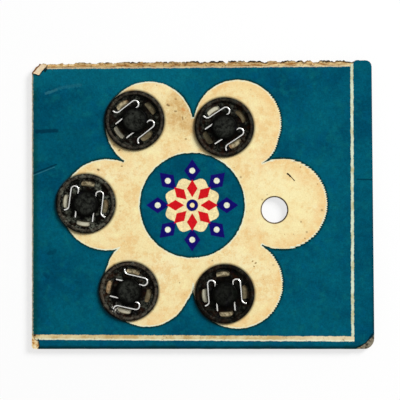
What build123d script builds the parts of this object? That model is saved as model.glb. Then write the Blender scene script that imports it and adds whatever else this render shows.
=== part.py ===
from build123d import *
from math import cos, pi, radians, sin, sqrt
import os

# Card of snap fasteners, in millimetres and degrees. The card lies on its back with its printed
# face up: +X runs to its right, +Y to its torn top edge and +Z out of the print. The origin is
# under the middle of the card, on the surface that the studs lie on.

# Card panel
card_width = 73.5
card_height = 62.0
card_thickness = 0.9
face_thickness = 0.15  # printed paper pasted on the board
right_lean = 0.6  # the right edge leans in towards the top
left_corner_cut = 0.45
top_corner_cut = 0.6
right_corner_radius = 1.2

# Torn top edge, broken top left corner and worn face paper
top_fall = 0.8  # the tear runs lower towards the left
tear_depth = 0.4
face_tear_back = 0.4
left_wear = 0.35
chip_width = 1.8
chip_height = 2.1
chip_scuff = 1.2
scuff_width = 1.6
scuff_height = 3.1
face_corner_radius = 2.7
tear_shares = (
    0.00, 0.00, 0.45, 0.10, 0.60, 0.20, 0.70, 0.25, 0.05, 0.60, 0.35, 0.80,
    0.20, 0.55, 0.95, 0.40, 0.10, 0.75, 0.35, 0.90, 0.55, 1.00, 0.45, 0.60,
)
face_back_shares = (
    0.50, 0.55, 0.70, 0.50, 0.95, 0.60, 1.00, 0.75, 0.55, 0.80, 0.50, 0.90,
    0.65, 0.85, 0.50, 0.70, 1.00, 0.55, 0.90, 0.60, 0.80, 0.50, 0.75, 0.60,
)
left_wear_shares = (0.80, 1.00, 0.60, 0.90, 0.50, 1.00, 0.70)
scuff_shares = ((0.40, 0.72), (0.92, 0.50), (1.00, 0.00))

# Punched holes: one ring of six, printed and punched out of register
hole_count = 6
punch_radius = 3.0
ring_radius = 20.5
ring_left = 5.15  # ring centre, left of the card's middle
ring_low = 0.62  # ring centre, below the card's middle
ring_turn = -1.5

# Snap sheet metal
snap_diameter = 12.7
sheet = 0.3
rim_width = 0.95
rim_height = 0.8
stud_plate = 0.5  # the stud's edge is hemmed flat, thicker than its sheet

# Sewing holes: straight slots that narrow towards the rim
sewing_hole_count = 4
sewing_hole_length = 2.9
sewing_hole_taper = 72
sewing_hole_land = 0.45

# Socket dome
dome_radius = 2.67
dome_height = 1.9
dome_bevel = 0.24

# Stud ball
neck_radius = 1.68
ball_radius = 1.87
ball_height = 0.32

# Spring wires
wire_diameter = 0.4
wire_sides = 4
grip_clearance = 0.02
wire_clearance = 0.07
slit_clearance = 0.05
hairpin_steps = 5  # straight lengths that make up each hairpin bend
leg_overhang = 1.85  # inner leg, past the dome wall
foot_turn = 51
run_share = 0.457  # outer run, between the inner leg and the rim
foot_start_share = 0.59  # start of the foot, of the outer run's distance from the middle
spring_slide = 0.5

# Each snap's place on the ring, its seat in the slack of its hole, its turn and its springs' slide
snap_names = ("upper_right", "upper_left", "left", "lower_left", "lower_right")
snap_turns = (33.5, 38.0, 83.0, -13.0, 95.0)
seat_shares = ((-0.73, -0.20), (0.25, 0.48), (0.44, 0.23), (0.00, -0.34), (0.05, -0.37))
slide_shares = ((0.0, 0.0), (0.0, 0.0), (1.0, 0.0), (1.0, 0.0), (0.4, 0.0))

# Levels above the surface
card_back = stud_plate
card_face = card_back + card_thickness
board_thickness = card_thickness - face_thickness

# Card edges
left_edge = -card_width / 2
right_edge = card_width / 2
bottom_edge = -card_height / 2
top_edge = card_height / 2
top_right = right_edge - right_lean
chip_x = left_edge + chip_width
face_chip_x = chip_x + chip_scuff
face_left = left_edge + left_wear

# Snap radii
snap_radius = snap_diameter / 2
rim_inner = snap_radius - rim_width
dome_bore = dome_radius - sheet
wire_radius = wire_diameter / 2

# Spring wire lines, with the hairpin bends towards +X
leg_line = neck_radius + grip_clearance + wire_radius
run_line = leg_line + (rim_inner - leg_line) * run_share
bend_radius = (run_line - leg_line) / 2
bend_start = sqrt((dome_radius + wire_clearance) ** 2 - (leg_line - wire_radius) ** 2)
leg_end = sqrt(dome_radius**2 - leg_line**2) + leg_overhang
foot_start = run_line * foot_start_share
foot_reach = rim_inner - wire_clearance - wire_radius

# Sewing holes lie between the outer runs and the rim
sewing_inner = run_line + wire_radius
sewing_outer = rim_inner - sewing_hole_land


def torn_edge(setback):
    """Return the top edge's points, right to left, with the sheet torn back by setback."""
    points = []
    steps = len(tear_shares) - 1
    for step, (tear_share, back_share) in enumerate(zip(tear_shares, face_back_shares)):
        across_share = step / steps
        x = top_right + (chip_x - top_right) * across_share
        fall = top_fall * across_share**2
        points.append((x, top_edge - fall - tear_depth * tear_share - setback * back_share))
    return points


def worn_left_edge(top, bottom):
    """Return the face paper's left edge, top to bottom, worn back unevenly."""
    steps = len(left_wear_shares) - 1
    points = []
    for step, wear_share in enumerate(left_wear_shares):
        y = top + (bottom - top) * step / steps
        points.append((left_edge + left_wear * wear_share, y))
    return points


def nearest_corner(sketch, point):
    """Return the corner of a card outline that lies at point."""
    return sketch.vertices().sort_by_distance(point)[0]


board_tear = torn_edge(0)
face_tear = [point for point in torn_edge(face_tear_back) if point[0] > face_chip_x]
chip_foot = board_tear[-1][1] - chip_height
face_chip_top = (face_chip_x, face_tear[-1][1])
face_chip_foot = chip_foot - chip_scuff / 2
scuff_top = bottom_edge + scuff_height
scuff_edge = [
    (face_left + (scuff_width - left_wear) * across_share, bottom_edge + scuff_height * up_share)
    for across_share, up_share in scuff_shares
]

# Pasteboard panel: board with the printed paper on it, punched through
with BuildPart() as card:
    with BuildSketch(Plane.XY.offset(card_back)) as board:
        with BuildLine():
            Polyline(
                (left_edge, bottom_edge),
                (right_edge, bottom_edge),
                *board_tear,
                (left_edge, chip_foot),
                close=True,
            )
        make_face()
        chamfer(nearest_corner(board, (left_edge, bottom_edge)), length=left_corner_cut)
        chamfer(nearest_corner(board, board_tear[0]), length=top_corner_cut)
        fillet(nearest_corner(board, (right_edge, bottom_edge)), radius=right_corner_radius)
    extrude(amount=board_thickness)
    with BuildSketch(Plane.XY.offset(card_back + board_thickness)) as face_paper:
        with BuildLine():
            Polyline(
                scuff_edge[-1],
                (right_edge, bottom_edge),
                *face_tear,
                face_chip_top,
                *worn_left_edge(face_chip_foot, scuff_top),
                *scuff_edge[:-1],
                close=True,
            )
        make_face()
        chamfer(nearest_corner(face_paper, face_tear[0]), length=top_corner_cut)
        fillet(nearest_corner(face_paper, (right_edge, bottom_edge)), radius=face_corner_radius)
    extrude(amount=face_thickness)
    with Locations((-ring_left, -ring_low, card_face)):
        with PolarLocations(ring_radius, hole_count, start_angle=ring_turn):
            Hole(punch_radius)

# Sewing hole outline, shared by sockets and studs
with BuildSketch() as sewing_hole:
    with Locations(((sewing_inner + sewing_outer) / 2, 0)):
        Trapezoid(sewing_hole_length, sewing_outer - sewing_inner, sewing_hole_taper, rotation=-90)

# Socket: flat on the card, with a raised rim, sewing holes and a closed dome slit for the wires
with BuildPart() as socket:
    with BuildSketch(Plane.XZ):
        with BuildLine():
            Polyline(
                (dome_bore, 0),
                (snap_radius, 0),
                (snap_radius, rim_height),
                (rim_inner, rim_height),
                (rim_inner, sheet),
                (dome_radius, sheet),
                (dome_radius, dome_height - dome_bevel),
                (dome_radius - dome_bevel, dome_height),
                (0, dome_height),
                (0, dome_height - sheet),
                (dome_bore, dome_height - sheet),
                close=True,
            )
        make_face()
    revolve(axis=Axis.Z)
    with BuildSketch(Plane.XY):
        with PolarLocations(0, sewing_hole_count):
            add(sewing_hole.sketch)
    extrude(amount=sheet, mode=Mode.SUBTRACT)
    slit_near = leg_line - wire_radius - slit_clearance
    slit_far = leg_line + wire_radius + ball_radius - neck_radius + slit_clearance
    slit_middle = (slit_near + slit_far) / 2
    with BuildSketch(Plane.XY.offset(sheet)):
        with Locations((0, slit_middle), (0, -slit_middle)):
            Rectangle(2 * dome_radius, slit_far - slit_near)
    extrude(amount=wire_diameter + slit_clearance, mode=Mode.SUBTRACT)

# Stud: flat on the card's back, with a ball that flares above the wires inside the dome
ball_neck = card_thickness + sheet + wire_diameter
ball_top = ball_neck + ball_height
with BuildPart() as stud:
    with BuildSketch(Plane.XZ):
        with BuildLine():
            Polyline(
                (snap_radius, 0),
                (neck_radius, 0),
                (neck_radius, ball_neck),
                (ball_radius, ball_top),
                (0, ball_top),
                (0, -stud_plate),
                (snap_radius, -stud_plate),
                close=True,
            )
        make_face()
    revolve(axis=Axis.Z)
    with BuildSketch(Plane.XY):
        with PolarLocations(0, sewing_hole_count):
            add(sewing_hole.sketch)
    extrude(amount=-stud_plate, mode=Mode.SUBTRACT)

# Spring wire: inner leg through the dome, hairpin bend, outer run and a foot turned to the rim
hairpin = []
for step in range(hairpin_steps + 1):
    angle = pi * (step / hairpin_steps - 1 / 2)
    hairpin.append((bend_start + bend_radius * cos(angle), leg_line + bend_radius * (1 + sin(angle))))
foot_x = -cos(radians(foot_turn))
foot_y = sin(radians(foot_turn))
along = run_line * foot_y - foot_start * foot_x
foot_length = sqrt(along**2 - run_line**2 - foot_start**2 + foot_reach**2) - along
foot_tip = (foot_length * foot_x - foot_start, foot_length * foot_y + run_line)
with BuildPart() as spring_a:
    with BuildLine(Plane.XY.offset(sheet + wire_radius)) as wire_line:
        Polyline((-leg_end, leg_line), *hairpin, (-foot_start, run_line), foot_tip)
    with BuildSketch(Plane(origin=wire_line.line @ 0, x_dir=(0, 1, 0), z_dir=wire_line.line % 0)):
        RegularPolygon(wire_radius, wire_sides, major_radius=False, rotation=180 / wire_sides)
    sweep(path=wire_line.line, transition=Transition.RIGHT)

with BuildPart() as spring_b:
    mirror(spring_a.part, about=Plane.XZ)

# Pieces of the five snaps, each seated in its own hole
os.makedirs("parts", exist_ok=True)
card.part.label = "card"
export_step(card.part, "parts/card.step")

slack = punch_radius - neck_radius
for place, name in enumerate(snap_names):
    ring_angle = radians(ring_turn + 360 / hole_count * (place + 1))
    x = ring_radius * cos(ring_angle) - ring_left + slack * seat_shares[place][0]
    y = ring_radius * sin(ring_angle) - ring_low + slack * seat_shares[place][1]
    turned = (0, 0, snap_turns[place])
    back_seat = Location((x, y, card_back), turned)
    face_seat = Location((x, y, card_face), turned)
    slide_a, slide_b = (spring_slide * share for share in slide_shares[place])
    pieces = {
        "socket": face_seat * socket.part,
        "stud": back_seat * stud.part,
        "spring_a": face_seat * Location((slide_a, 0, 0)) * spring_a.part,
        "spring_b": face_seat * Location((slide_b, 0, 0)) * spring_b.part,
    }
    for kind, piece in pieces.items():
        piece.label = f"{name}_{kind}"
        export_step(piece, f"parts/{piece.label}.step")
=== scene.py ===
from math import atan2, cos, hypot, pi, radians, sin, sqrt

import bmesh
import bpy
from bpy.props import FloatProperty, FloatVectorProperty, PointerProperty
from mathutils import Matrix, Vector, noise


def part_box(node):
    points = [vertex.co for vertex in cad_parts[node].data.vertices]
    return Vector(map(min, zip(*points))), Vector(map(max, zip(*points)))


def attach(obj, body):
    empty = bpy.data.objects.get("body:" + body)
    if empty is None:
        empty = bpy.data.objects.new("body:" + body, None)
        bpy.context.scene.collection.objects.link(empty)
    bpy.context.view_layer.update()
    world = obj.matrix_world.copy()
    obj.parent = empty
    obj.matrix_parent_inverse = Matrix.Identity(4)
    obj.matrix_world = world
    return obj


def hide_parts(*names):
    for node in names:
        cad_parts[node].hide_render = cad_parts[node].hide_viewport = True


bl_info = {
    "name": "Card of Snap Fasteners",
    "version": (1, 0, 0),
    "blender": (4, 5, 0),
    "location": "3D View > Sidebar > Snap Card",
    "description": "Dresses a torn, printed card and its black sew-on snaps over their solid model",
    "category": "Object",
}

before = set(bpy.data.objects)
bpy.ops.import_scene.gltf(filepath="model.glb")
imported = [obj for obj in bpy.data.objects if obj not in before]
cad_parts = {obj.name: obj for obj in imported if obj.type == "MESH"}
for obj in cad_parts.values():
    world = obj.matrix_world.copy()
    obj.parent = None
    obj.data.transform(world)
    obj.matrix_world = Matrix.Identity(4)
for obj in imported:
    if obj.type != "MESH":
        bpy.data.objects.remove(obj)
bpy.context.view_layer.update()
CARD_LOW, CARD_HIGH = (corner * 1000 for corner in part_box("card"))

# Meshes are modelled in millimetres and brought to metres when a piece is finished.
METRES = 0.001
SNAP_TURNS = {"upper_right": 33.5, "upper_left": 38.0, "left": 83.0, "lower_left": -13.0, "lower_right": 95.0}
SPRING_SLIDES = {"left": 0.5, "lower_left": 0.5, "lower_right": 0.2}
# Rust, the grey bloom of dried grime, and the rubbing of dome and rim, on each snap; the rubbing also carries a painted
# sheen on the dome's top and a painted highlight on the rim's crest
WEAR_SHARES = {
    "upper_right": (0.7, 0.5, 0.9, 0.33),
    "upper_left": (0.35, 0.5, 1.0, 0.6),
    "left": (0.35, 1.6, 1.0, 0.75),
    "lower_left": (0.8, 0.7, 1.0, 0.9),
    "lower_right": (0.6, 0.25, 0.35, 0.06),
}
# Sewing holes whose paper shows darker, and those whose paper shows paler, by their bearing on the snap
DARK_HOLES = {
    "upper_right": (0, 180),
    "upper_left": (0, 270),
    "left": (270,),
    "lower_left": (0,),
    "lower_right": (270,),
}
PALE_HOLES = {
    "upper_right": (90,),
    "upper_left": (180,),
    "left": (90, 180),
    "lower_left": (270,),
    "lower_right": (90,),
}
WEAR_LAYERS = ("rubbed", "rust", "bloom")
# Rings on a snap: the middles of its sewing holes, and the paper seen through them; away from the second ring the paper
# under a snap is painted dark as shade
SEWING_RING = 4.3
WINDOW_RING = 4.4
SEWING_HALF_ANGLE = 20.0
SLIT_BEARINGS = (48.75, 131.25, 228.75, 311.25)
SLIT_HALF_ANGLE = 11.3
LATHE_STEPS = 144

# Ring of punched holes on the card, and where the tear calms down towards the right margin
RING_MIDDLE = (-5.15, -0.62)
RING_TURN = -1.5
TEAR_FADE = 33.0

# Stage: lengths and places in metres, the share of plain white in the floor, and the sensor in millimetres
FLOOR_HALF = 1.5
FLOOR_GLOW = 0.7
KEY_PLACE = (1.04, 0.82, 0.90)
KEY_SIZE = 0.6
CAMERA_PLACE = (-0.00062, 0.00097)
SENSOR_WIDTH = 36.0

# Printed flower: petals and body as (x, y, radius), round a disc, in millimetres on the card
PETALS = (
    (16.92, 0.15, 9.68),
    (7.41, 17.38, 9.31),
    (-11.47, 16.99, 9.32),
    (-20.58, -0.04, 9.74),
    (-11.95, -16.90, 9.28),
    (7.45, -16.94, 9.61),
)
FLOWER_MIDDLE = (-2.28, -0.15, 0.0)
FLOWER_BODY = (-2.18, 0.2, 17.3)
# Webs that close the notches between petals, as (x, y, radius)
WEBS = (
    (-2.0, 16.6, 2.1),
    (8.9, 15.0, 7.25),
    (-13.6, -14.6, 6.95),
    (-16.0, -9.6, 2.1),
    (-8.0, -16.6, 6.05),
)
DISC_RADIUS = 11.27
# Scales that drop a point onto the plane of the card
FLAT = (1.0, 1.0, 0.0)


def ink(red, green, blue):
    """Return a printed colour, given in 0 to 255, in linear light."""
    return tuple(
        (c / 12.92 if c <= 0.04045 else ((c + 0.055) / 1.055) ** 2.4) for c in (red / 255, green / 255, blue / 255)
    )


# Creases and scratches, then spots and dark lines, as start, run, width, colour and strength
CREASES = (
    ((18.15, 6.6), (0.6, -0.55), 0.24, ink(22, 16, 9), 1.0),
    ((18.95, 5.85), (0.65, -0.75), 0.15, ink(30, 22, 12), 1.0),
    ((-36.4, 6.6), (5.0, 2.0), 0.22, ink(0, 44, 60), 0.8),
    ((-36.4, 6.2), (4.6, 1.85), 0.12, ink(60, 130, 142), 0.5),
    ((-35.6, 15.6), (4.2, 0.2), 0.6, ink(0, 38, 60), 0.7),
    ((-33.6, 23.8), (2.2, 0.8), 0.42, ink(60, 128, 140), 0.38),
    ((-30.8, 25.0), (4.6, 0.6), 0.5, ink(44, 118, 132), 0.26),
    ((33.0, 5.4), (3.4, -0.1), 0.2, ink(0, 46, 64), 0.8),
    ((-33.0, -10.5), (1.2, 0.4), 0.7, ink(0, 46, 66), 0.5),
    ((-34.0, -15.0), (0.8, -0.5), 0.6, ink(0, 46, 66), 0.45),
)
SPOTS = (
    ((-5.9, 22.6), (0.2, 0.0), 0.25, ink(150, 104, 52), 0.7),
    ((-7.6, 21.4), (0.3, -0.2), 0.3, ink(128, 96, 50), 0.8),
    ((-4.3, 20.5), (0.3, -0.3), 0.4, ink(214, 140, 72), 0.7),
    ((-6.0, 20.0), (0.3, 0.0), 0.22, ink(120, 86, 44), 0.7),
    ((-4.4, 18.7), (0.1, -0.4), 0.25, ink(140, 100, 50), 0.7),
    ((-18.0, 11.6), (0.2, 0.1), 0.25, ink(130, 92, 46), 0.8),
    ((-22.5, 7.5), (0.2, -0.1), 0.28, ink(112, 84, 40), 0.85),
    ((-17.5, 8.2), (0.2, 0.0), 0.2, ink(140, 104, 56), 0.7),
    ((10.6, -12.2), (0.1, 0.1), 0.2, ink(150, 112, 44), 0.8),
    ((11.2, -12.6), (0.2, 0.1), 0.24, ink(134, 98, 40), 0.8),
    ((10.9, -13.2), (0.1, -0.1), 0.18, ink(140, 104, 46), 0.8),
    ((-33.45, 29.6), (-1.7, -1.97), 0.2, ink(12, 24, 26), 0.85),
    ((-33.6, 29.0), (-0.2, -0.4), 0.35, ink(12, 24, 26), 0.9),
    ((-36.3, 27.95), (1.05, -0.35), 0.2, ink(12, 30, 30), 0.85),
    # Painted shadow: dark lines along the print's edge at the worn lower right corner
    ((32.7, -30.8), (2.4, 1.15), 0.3, ink(6, 24, 24), 0.85),
    ((35.1, -29.6), (1.2, 1.8), 0.3, ink(6, 24, 24), 0.85),
    ((-35.25, -28.9), (0.25, -1.9), 0.22, ink(6, 36, 36), 0.85),
    ((-36.2, -28.1), (0.2, 0.1), 0.35, ink(44, 20, 16), 0.9),
)


def length(title, note, default):
    """Return a property that holds a length in millimetres."""
    return FloatProperty(name=title, description=note + ", in mm", default=default, min=0.0, precision=3)


def colour(title, note, default):
    """Return a property that holds a colour."""
    return FloatVectorProperty(name=title, description=note, default=default, subtype="COLOR", min=0.0, max=1.0)


class CardSettings(bpy.types.PropertyGroup):
    """Sizes and colours of the printed card"""

    face_thickness: length("Face paper", "Thickness of the printed paper", 0.15)
    right_lean: length("Right lean", "How far the right edge leans in at the top", 0.6)
    top_fall: length("Top fall", "How far the torn edge drops towards the left", 0.7)
    tear_depth: length("Tear depth", "Depth of the torn edge's bites", 0.42)
    face_tear_back: length("Face tear", "How far the face paper is torn back from the board", 0.4)
    left_wear: length("Left wear", "How far the face paper is rubbed back on the left", 0.3)
    chip_width: length("Chip width", "Width of the chipped corner", 1.8)
    chip_height: length("Chip height", "Height of the chipped corner", 2.1)
    chip_scuff: length("Chip scuff", "Bare board beside the chipped corner", 1.7)
    scuff_width: length("Scuff width", "Bare board at the lower left corner", 1.6)
    scuff_height: length("Scuff height", "Bare board at the lower left corner", 3.1)
    left_corner: length("Left corner", "Radius of the board's lower left corner", 0.8)
    board_corner: length("Board corner", "Radius of the board's lower right corner", 2.3)
    face_corner: length("Face corner", "Size of the face paper's worn lower right corner", 4.0)
    top_corner: length("Top corner", "Radius of the upper right corner", 1.4)
    punch_taper: length("Hole taper", "How much narrower the punched holes are at the back", 0.16)
    ring_radius: length("Hole ring", "Radius of the ring of punched holes", 20.5)
    punch_radius: length("Hole radius", "Radius of the punched holes", 2.92)
    blue: colour("Blue ink", "Field and disc", ink(2, 90, 110))
    deep_blue: colour("Deep blue", "Patches where the ink lies heavier", ink(0, 72, 96))
    cream: colour("Cream", "Flower", ink(247, 229, 172))
    amber: colour("Amber", "Age stain on the flower", ink(240, 194, 126))
    pale: colour("Pale paper", "Bare paper along the print's edges", ink(234, 238, 210))
    navy: colour("Navy", "Rosette", ink(20, 14, 104))
    red: colour("Red", "Rosette", ink(212, 24, 32))
    core: colour("Board core", "Torn and rubbed edges", ink(226, 205, 158))
    brown: colour("Brown fibre", "Dirty fibres of the tear", ink(116, 78, 42))
    back: colour("Card back", "Unprinted back", ink(182, 168, 142))


class SnapSettings(bpy.types.PropertyGroup):
    """Sizes and colours of the snaps"""

    radius: length("Radius", "Outer radius of socket and stud", 6.35)
    sheet: length("Sheet", "Thickness of the socket's sheet metal", 0.3)
    rim_width: length("Rim width", "Width of the rolled rim", 0.95)
    rim_height: length("Rim height", "Height of the rolled rim", 0.8)
    dome_radius: length("Dome radius", "Outer radius of the socket's dome", 2.67)
    dome_height: length("Dome height", "Height of the socket's dome", 1.9)
    dome_round: length("Dome round", "Rounding of the dome's upper edge", 0.3)
    slit_top: length("Slit top", "Height of the dome's wire slits", 0.75)
    sewing_inner: length("Sewing hole inner edge", "Distance of its straight edge from the middle", 3.72)
    sewing_outer: length("Sewing hole outer edge", "Distance of its round edge from the middle", 4.95)
    stud_plate: length("Stud plate", "Thickness of the stud's hemmed edge", 0.5)
    neck_radius: length("Neck radius", "Radius of the stud's neck", 1.68)
    ball_radius: length("Ball radius", "Radius of the stud's ball", 1.87)
    wire_diameter: length("Wire", "Diameter of the spring wire", 0.37)
    enamel: colour("Enamel", "Black enamel on the metal", ink(4, 4, 3))
    # The rubbed tone also serves as a painted sheen on the domes' tops
    rubbed: colour("Rubbed enamel", "Enamel dulled by handling", ink(50, 52, 47))
    rust: colour("Rust", "Brown film on the metal", ink(40, 20, 9))
    wire: colour("Wire", "Bright spring wire", ink(214, 214, 210))


class StageSettings(bpy.types.PropertyGroup):
    """Camera, floor and light"""

    view_width: length("View width", "Width that the picture takes in at the card's face", 85.7)
    camera_height: length("Camera height", "Height of the camera over the card's face", 450.0)
    key_power: FloatProperty(name="Key power", description="Soft lamp to the upper right", default=30.5, unit="POWER")
    ambient: FloatProperty(name="Ambient", description="Light from all round", default=0.34, min=0.0)
    floor: colour("Floor", "Plain pale floor", (0.98, 0.98, 0.98))


class Pen:
    """Draws the shader nodes of one finish"""

    def __init__(self, tree):
        self.tree = tree

    def link(self, start, end):
        """Join an output to an input."""
        self.tree.links.new(start, end)

    def node(self, kind, feeds=(), **options):
        """Add a node, set its options, feed its inputs from sockets or plain values, and return its outputs."""
        made = self.tree.nodes.new("ShaderNode" + kind)
        for name, value in options.items():
            setattr(made, name, value)
        for key, value in dict(feeds).items():
            if isinstance(value, bpy.types.NodeSocket):
                self.link(value, made.inputs[key])
            else:
                made.inputs[key].default_value = value
        return made.outputs

    def math(self, operation, first, second=0.0, clamp=False):
        """Return a number worked out from two others."""
        return self.node("Math", {0: first, 1: second}, operation=operation, use_clamp=clamp)[0]

    def plus(self, first, second):
        """Return a sum."""
        return self.math("ADD", first, second)

    def minus(self, first, second):
        """Return a difference."""
        return self.math("SUBTRACT", first, second)

    def times(self, first, second):
        """Return a product."""
        return self.math("MULTIPLY", first, second)

    def larger(self, first, second):
        """Return the larger of two numbers, of which the first may be missing."""
        return second if first is None else self.math("MAXIMUM", first, second)

    def sway(self, noise_value, reach):
        """Return a noise as a swing to both sides of zero."""
        return self.times(self.minus(noise_value, 0.5), reach)

    def vector(self, operation, first, second, output=0):
        """Return what two vectors make."""
        return self.node("VectorMath", {0: first, 1: second}, operation=operation)[output]

    def scale(self, vector, factor):
        """Return a vector or a colour times a factor."""
        return self.node("VectorMath", {0: vector, "Scale": factor}, operation="SCALE")[0]

    def millimetres(self):
        """Return the surface's place in the frame, in millimetres."""
        return self.scale(self.node("TexCoord")["Object"], 1 / METRES)

    def stretch(self, point, scales):
        """Return a point with its axes scaled apart."""
        return self.vector("MULTIPLY", point, scales)

    def outside(self, point, middle, radius):
        """Return the distance outside a circle or ball, whose middle is at height 0 unless it says."""
        return self.minus(self.vector("DISTANCE", point, (*middle, 0.0)[:3], "Value"), radius)

    def step(self, value, low, high, to_low=0.0, to_high=1.0):
        """Return a soft step of a value between two limits."""
        feeds = {"Value": value, "From Min": low, "From Max": high, "To Min": to_low, "To Max": to_high}
        return self.node("MapRange", feeds, interpolation_type="SMOOTHSTEP")[0]

    def over(self, factor, under, over):
        """Return one colour laid over another."""
        under, over = (tone if isinstance(tone, bpy.types.NodeSocket) else (*tone, 1.0) for tone in (under, over))
        return self.node("Mix", {0: factor, 6: under, 7: over}, data_type="RGBA")[2]

    def tint(self, shown, *layers):
        """Return a colour with tones laid over it, each where a value steps between two limits, up to a share."""
        for tone, value, low, high, share in layers:
            shown = self.over(self.step(value, low, high, 0.0, share), shown, tone)
        return shown

    def grain(self, point, scale, detail=3.0, rough=0.55, twist=0.0, seed=0.0):
        """Return a noise of a given scale, in bumps per millimetre."""
        feeds = {"Vector": point, "W": seed, "Scale": scale, "Detail": detail, "Roughness": rough, "Distortion": twist}
        return self.node("TexNoise", feeds, noise_dimensions="4D")["Fac"]

    def stroke(self, point, start, run, width):
        """Return the mask of a crease or scratch along a straight line."""
        feeds = {"Point": point, "Start": (*start, 0.0)[:3], "Run": (*run, 0.0)[:3], "Width": width}
        return self.node("Group", feeds, node_tree=stroke_group())["Mask"]

    def fibre(self, point, scale):
        """Return the outputs of the pulp fibres that paper and board share."""
        return self.node("Group", {"Point": point, "Scale": scale}, node_tree=fibre_group())

    def finish(self, shader, shown, dullness, height, strength, depth):
        """Give a shader its colour, its dullness, and relief of a depth in millimetres."""
        bump = self.node("Bump", {"Height": height, "Strength": strength, "Distance": depth * METRES})
        for socket, value in {"Base Color": shown, "Roughness": dullness, "Normal": bump[0]}.items():
            self.link(value, shader.inputs[socket])


def new_group(name, inputs, outputs):
    """Return a pen for a new shader group, with the group's inputs and outputs."""
    tree = bpy.data.node_groups.new(name, "ShaderNodeTree")
    for title, kind in inputs.items():
        tree.interface.new_socket(title, in_out="INPUT", socket_type="NodeSocket" + kind)
    for title in outputs:
        tree.interface.new_socket(title, in_out="OUTPUT", socket_type="NodeSocketFloat")
    return Pen(tree), tree.nodes.new("NodeGroupInput").outputs, tree.nodes.new("NodeGroupOutput").inputs


def stroke_group():
    """Return the group for a crease or scratch: a mask along a straight line."""
    name = "stroke"
    if name in bpy.data.node_groups:
        return bpy.data.node_groups[name]
    inputs = {"Point": "Vector", "Start": "Vector", "Run": "Vector", "Width": "Float"}
    pen, given, result = new_group(name, inputs, ["Mask"])
    away = pen.vector("SUBTRACT", given["Point"], given["Start"])
    along = pen.vector("DOT_PRODUCT", away, given["Run"], "Value")
    whole = pen.vector("DOT_PRODUCT", given["Run"], given["Run"], "Value")
    foot = pen.scale(given["Run"], pen.math("DIVIDE", along, whole, clamp=True))
    apart = pen.vector("DISTANCE", away, foot, "Value")
    reach = pen.times(given["Width"], pen.times(pen.grain(given["Point"], 1.6), 2.0))
    pen.link(pen.step(apart, reach, pen.times(reach, 0.35)), result["Mask"])
    return pen.tree


def fibre_group():
    """Return the group for pulp fibres: flecks, a height and a dullness that paper and board share."""
    name = "pulp_fibre"
    if name in bpy.data.node_groups:
        return bpy.data.node_groups[name]
    pen, given, result = new_group(name, {"Point": "Vector", "Scale": "Float"}, ["Fibre", "Fleck", "Dullness"])
    along = pen.grain(pen.stretch(given["Point"], (1.0, 3.2, 1.0)), given["Scale"], 4.0, 0.6, 0.6)
    across = pen.grain(pen.stretch(given["Point"], (3.0, 1.0, 1.4)), given["Scale"], 4.0, 0.6, 0.6)
    fibre = pen.times(pen.plus(along, across), 0.5)
    cells = pen.node("TexVoronoi", {"Vector": given["Point"], "Scale": 0.85, "Randomness": 1.0})
    chance = pen.node("SeparateColor", {0: cells["Color"]})
    reach = pen.plus(pen.times(pen.math("POWER", chance[1], 3.0), 0.26), 0.1)
    dot = pen.step(cells["Distance"], reach, 0.02)
    crowd = pen.step(pen.grain(given["Point"], 0.16), 0.45, 0.62, 0.15, 0.5)
    rare = pen.step(pen.plus(chance[0], crowd), 0.93, 1.0)
    pen.link(fibre, result["Fibre"])
    pen.link(pen.times(dot, rare), result["Fleck"])
    pen.link(pen.step(fibre, 0.3, 0.7, 0.62, 0.86), result["Dullness"])
    return pen.tree


def new_material(name, **plain):
    """Return a material with its pen and shader, with the plain values set on the shader."""
    material = bpy.data.materials.new(name)
    material.use_nodes = True
    shader = material.node_tree.nodes["Principled BSDF"]
    for socket, value in plain.items():
        shader.inputs[socket.replace("_", " ")].default_value = value
    return material, Pen(material.node_tree), shader


def rosette(pen, point, card, under):
    """Return the disc's colour with a plain eight-fold rosette printed on it."""
    off = pen.vector("SUBTRACT", point, FLOWER_MIDDLE)
    axes = pen.node("SeparateXYZ", {0: off})
    turn = pen.math("ARCTAN2", axes[1], axes[0])
    out = pen.node("VectorMath", {0: off}, operation="LENGTH")["Value"]
    sector = pi / 4
    folded = pen.minus(pen.math("FLOORED_MODULO", pen.plus(turn, sector / 2), sector), sector / 2)
    along = pen.times(out, pen.math("COSINE", folded))
    across = pen.math("ABSOLUTE", pen.times(out, pen.math("SINE", folded)))
    fuzz = pen.sway(pen.grain(point, 4.0), 0.25)

    def lozenge(middle, half_length, half_width):
        reach = pen.math("DIVIDE", pen.math("ABSOLUTE", pen.minus(along, middle)), half_length)
        spread = pen.math("DIVIDE", across, half_width)
        return pen.step(pen.plus(pen.plus(reach, spread), fuzz), 1.06, 0.94)

    def dot(middle, radius):
        run = pen.minus(along, middle)
        apart = pen.math("SQRT", pen.plus(pen.math("POWER", run, 2.0), pen.math("POWER", across, 2.0)))
        return pen.step(pen.plus(apart, fuzz), radius + 0.06, radius - 0.06)

    scallop = pen.times(pen.math("COSINE", pen.times(turn, 8.0)), 0.45)
    rim = pen.plus(pen.plus(out, scallop), fuzz)
    hub = pen.plus(out, fuzz)
    shown = pen.over(lozenge(7.4, 2.5, 1.75), under, card.navy)
    shown = pen.over(dot(7.4, 0.62), shown, card.pale)
    shown = pen.tint(shown, (card.cream, rim, 5.66, 5.54, 1.0))
    shown = pen.over(lozenge(3.6, 1.9, 1.15), shown, card.red)
    return pen.tint(shown, (card.navy, hub, 1.32, 1.2, 1.0), (card.cream, hub, 0.55, 0.45, 1.0))


def flower_distance(pen, point):
    """Return the distance outside the printed flower."""
    *middle, radius = FLOWER_BODY
    flower = pen.outside(point, middle, radius)
    for *middle, radius in PETALS + WEBS:
        flower = pen.math("MINIMUM", flower, pen.outside(point, middle, radius))
    return flower


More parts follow.
